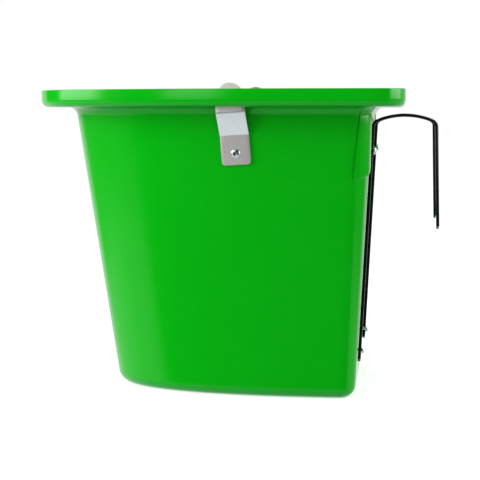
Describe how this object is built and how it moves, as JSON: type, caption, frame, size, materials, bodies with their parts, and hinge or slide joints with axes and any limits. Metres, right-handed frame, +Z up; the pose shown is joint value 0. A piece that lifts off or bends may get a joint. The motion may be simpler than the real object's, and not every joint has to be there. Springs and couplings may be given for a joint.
{
  "type": "feed bucket",
  "caption": "D-plan green feed bucket with up-turned rim, riveted steel handle ears with a folding bail handle, and wire hooks at the flat back for a stable door.",
  "frame": {"origin": "centre of the base underside, in the left-right mirror plane", "axes": "+Z up, -X the rounded front, +X the flat back with the hooks, -Y left, +Y right"},
  "size_m": [0.3709, 0.294, 0.2783],
  "materials": {
    "green_polyethylene": "glossy moulded polyethylene, mid green",
    "stainless_strap": "brushed stainless sheet",
    "rivet_aluminium": "satin dome",
    "rivet_pin_steel": "plain steel",
    "black_coated_wire": "glossy black coating on steel wire",
    "bright_wire": "bright drawn wire",
    "grip_plastic": "matt black sleeve",
    "zinc_plated_steel": "zinc plated, satin"
  },
  "bodies": {
    "bucket": {"bucket_body": "green_polyethylene", "left_ear_strap": "stainless_strap", "left_strap_rivet": "rivet_aluminium", "left_rivet_mandrel": "rivet_pin_steel", "left_rivet_washer": "zinc_plated_steel", "left_hook_wire": "black_coated_wire", "left_upper_screw": "zinc_plated_steel", "left_upper_inner_washer": "zinc_plated_steel", "left_upper_nut": "zinc_plated_steel", "left_lower_screw": "zinc_plated_steel", "left_lower_inner_washer": "zinc_plated_steel", "left_lower_nut": "zinc_plated_steel", "right_ear_strap": "stainless_strap", "right_strap_rivet": "rivet_aluminium", "right_rivet_mandrel": "rivet_pin_steel", "right_rivet_washer": "zinc_plated_steel", "right_hook_wire": "black_coated_wire", "right_upper_screw": "zinc_plated_steel", "right_upper_inner_washer": "zinc_plated_steel", "right_upper_nut": "zinc_plated_steel", "right_lower_screw": "zinc_plated_steel", "right_lower_inner_washer": "zinc_plated_steel", "right_lower_nut": "zinc_plated_steel"},
    "handle": {"bail_wire": "bright_wire", "handle_grip": "grip_plastic"}
  },
  "joints": [
    {"name": "handle_swing", "type": "hinge", "parent": "bucket", "child": "handle", "pos_m": [0.00524, 0, 0.2666], "axis": [0, 1, 0], "range_deg": [0, 175]}
  ]
}
